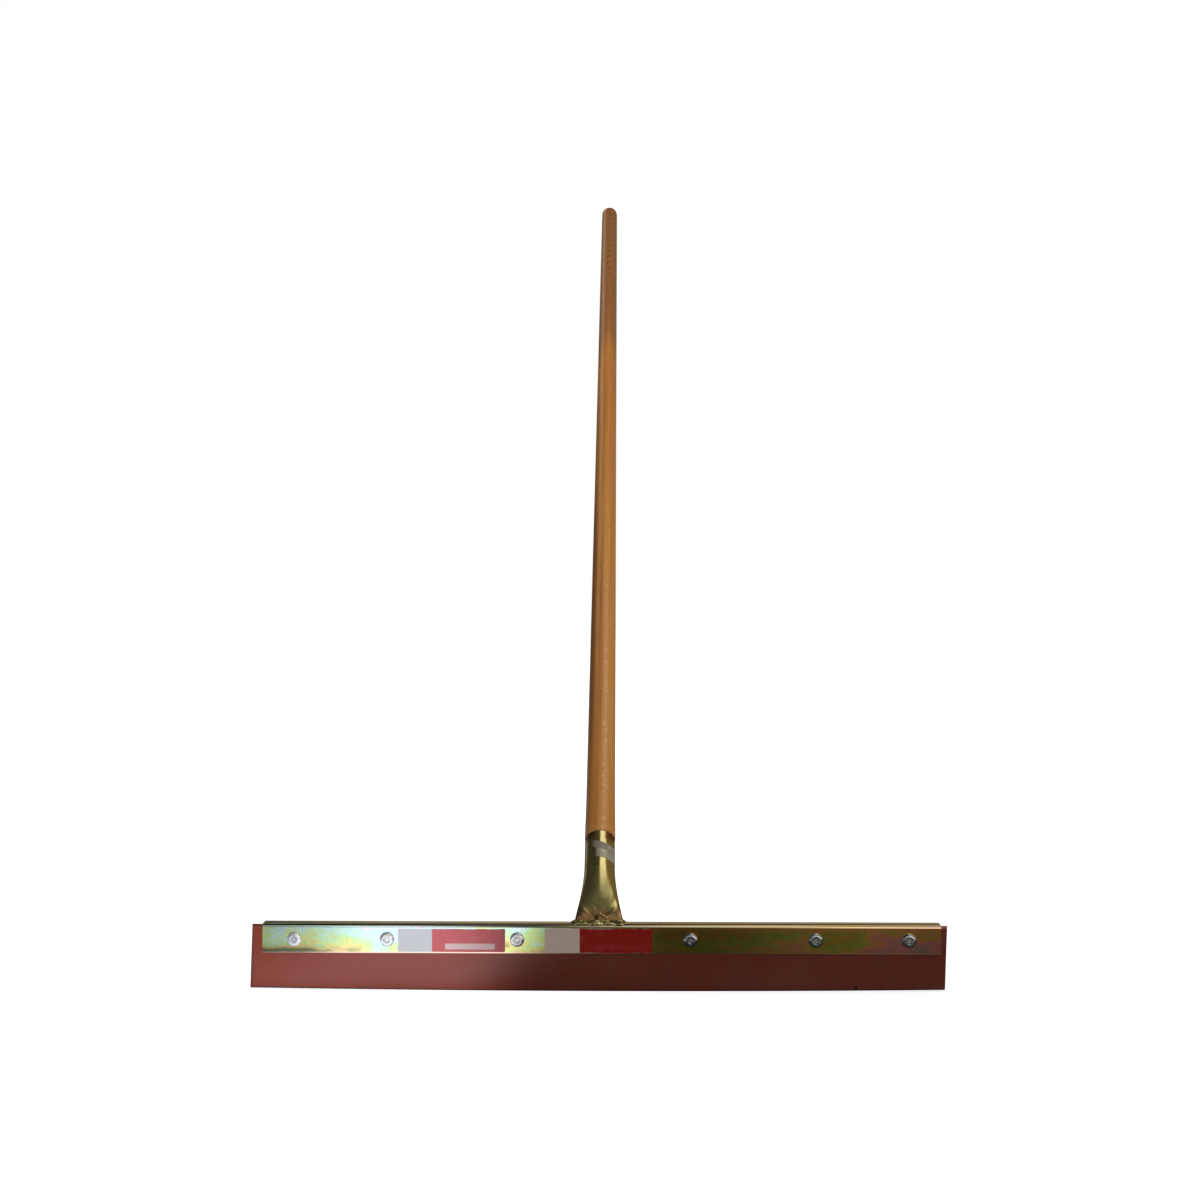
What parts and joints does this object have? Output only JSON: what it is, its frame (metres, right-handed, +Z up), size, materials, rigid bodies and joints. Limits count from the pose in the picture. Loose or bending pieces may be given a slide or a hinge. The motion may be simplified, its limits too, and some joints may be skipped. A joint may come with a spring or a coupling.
{
  "type": "floor squeegee",
  "caption": "Floor squeegee: rubber blade riveted into a folded steel channel, with a welded flattened-tube socket that takes a round push-fit timber handle leaning back.",
  "frame": {"origin": "on the blade's wiping edge, at mid-thickness, under the middle of the channel", "axes": "+X along the blade, +Y back towards the user along the floor, +Z up"},
  "size_m": [0.61, 1.2038, 1.0641],
  "materials": {
    "rubber": "matte moulded brick-red rubber, dusty",
    "channel_steel": "yellow-passivated zinc plate, iridescent",
    "socket_steel": "yellow-passivated zinc plate, olive gold",
    "weld_metal": "plated over, lumpy",
    "rivet_alloy": "bright, lightly scuffed",
    "pin_steel": "snapped bright end",
    "timber": "clear-varnished hardwood",
    "label_paper": "plain sticker, satin",
    "clear_tape": "clear film"
  },
  "bodies": {
    "head": {"rubber_blade": "rubber", "frame_channel": "channel_steel", "handle_socket": "socket_steel", "weld_front": "weld_metal", "weld_rear": "weld_metal", "rivet_1": "rivet_alloy", "rivet_2": "rivet_alloy", "rivet_3": "rivet_alloy", "rivet_4": "rivet_alloy", "rivet_5": "rivet_alloy", "rivet_6": "rivet_alloy", "rivet_pin_1": "pin_steel", "rivet_pin_2": "pin_steel", "rivet_pin_3": "pin_steel", "rivet_pin_4": "pin_steel", "rivet_pin_5": "pin_steel", "rivet_pin_6": "pin_steel"},
    "handle": {"handle": "timber"}
  },
  "joints": [
    {"name": "handle_pull", "type": "slide", "parent": "head", "child": "handle", "axis": [0, 0.766, 0.6428], "range_m": [0, 0.06]}
  ]
}
